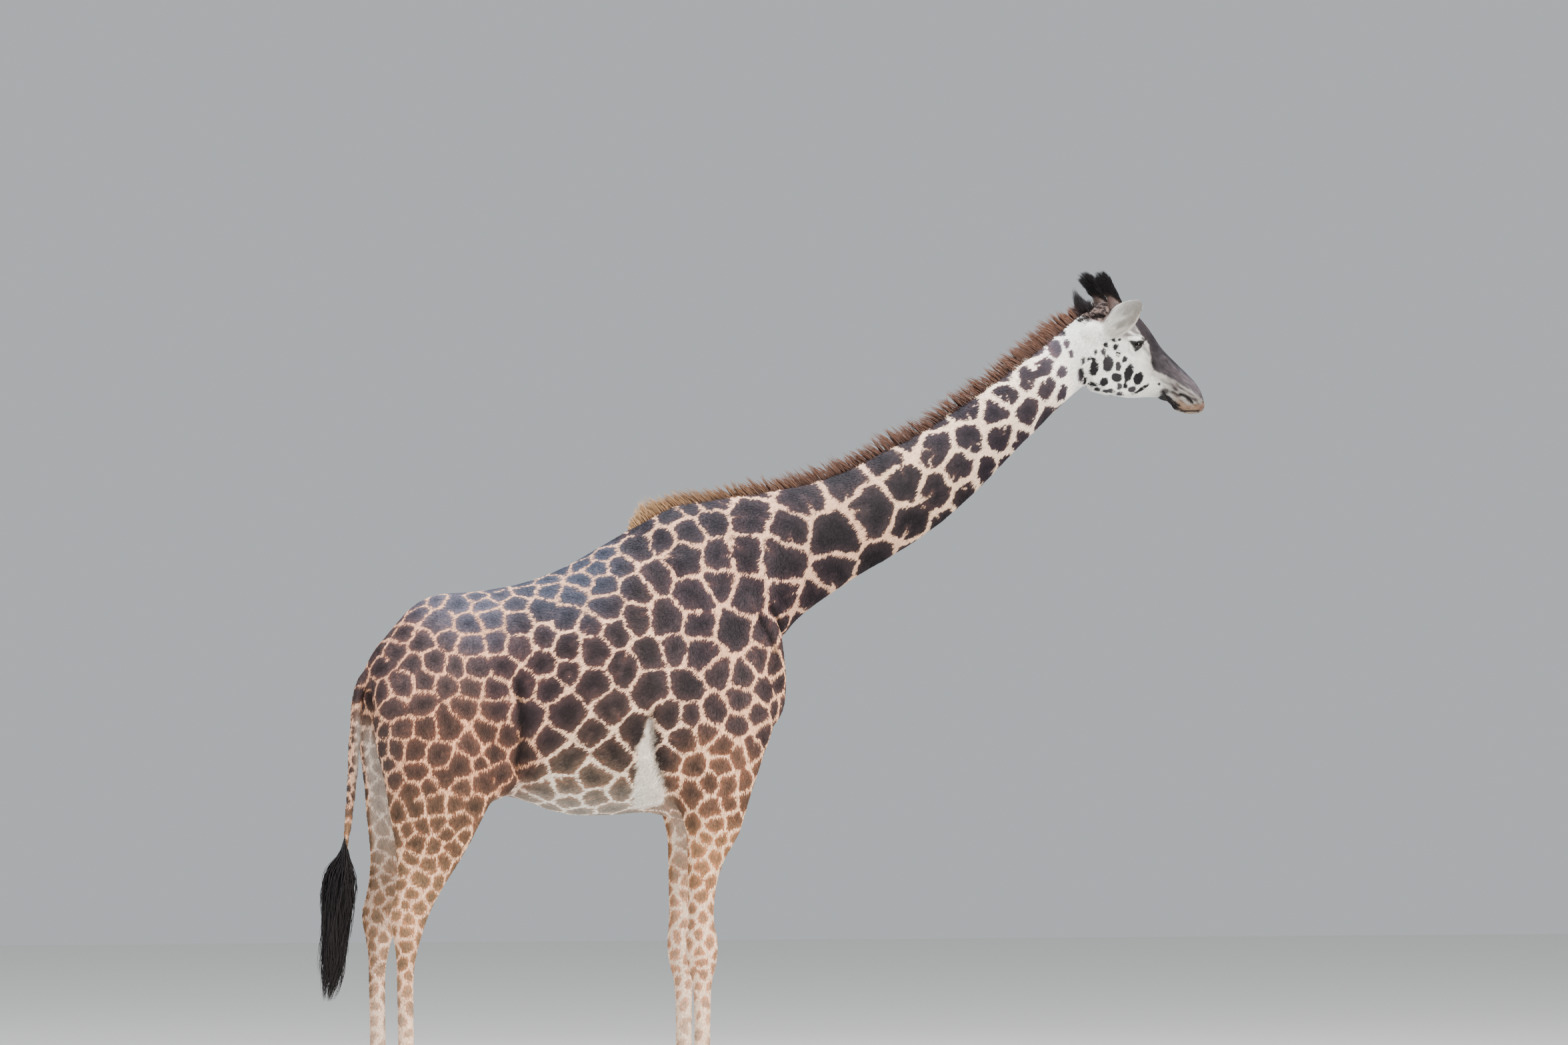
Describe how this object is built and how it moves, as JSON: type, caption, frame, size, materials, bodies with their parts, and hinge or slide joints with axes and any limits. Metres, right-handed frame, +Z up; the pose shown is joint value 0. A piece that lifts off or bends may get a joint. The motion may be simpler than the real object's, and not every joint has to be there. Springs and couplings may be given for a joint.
{
  "type": "giraffe",
  "caption": "Adult Masai giraffe cow standing square with her neck held forward and her head level, dark lobed coat patches, upright mane, haired horns and a tufted tail.",
  "frame": {"origin": "middle of the footprint box of the whole animal, on the floor that the soles stand on", "axes": "+X is the way the body faces, +Y is the animal's left, +Z is up"},
  "size_m": [3.7372, 0.7578, 3.6967],
  "materials": {
    "coat": "short glossy hair, dark umber patches on light tan",
    "face": "very short pale hair with dark spots, grey nose",
    "ear": "short whitish hair",
    "eye": "wet, dark and glossy",
    "mane": "stiff upright reddish-brown hair",
    "black_hair": "coarse black hair",
    "leg": "short tan hair with faded patches",
    "hoof": "dull dark horn"
  },
  "bodies": {
    "root": {"barrel": "coat", "chest": "coat", "hindquarters": "coat", "neck_lower": "coat", "neck_upper": "coat", "tail_dock": "coat", "ossicone_left": "coat", "ossicone_right": "coat", "head": "face", "lower_jaw": "face", "ear_left": "ear", "ear_right": "ear", "eye_left": "eye", "eye_right": "eye", "mane": "mane", "ossicone_hair_left": "black_hair", "ossicone_hair_right": "black_hair", "tail_tuft": "black_hair", "fore_leg_upper_left": "leg", "fore_leg_upper_right": "leg", "fore_leg_lower_left": "leg", "fore_leg_lower_right": "leg", "hind_leg_upper_left": "leg", "hind_leg_upper_right": "leg", "hind_leg_lower_left": "leg", "hind_leg_lower_right": "leg", "hoof_front_left_inner": "hoof", "hoof_front_left_outer": "hoof", "hoof_front_right_inner": "hoof", "hoof_front_right_outer": "hoof", "hoof_hind_left_inner": "hoof", "hoof_hind_left_outer": "hoof", "hoof_hind_right_inner": "hoof", "hoof_hind_right_outer": "hoof"}
  },
  "joints": []
}
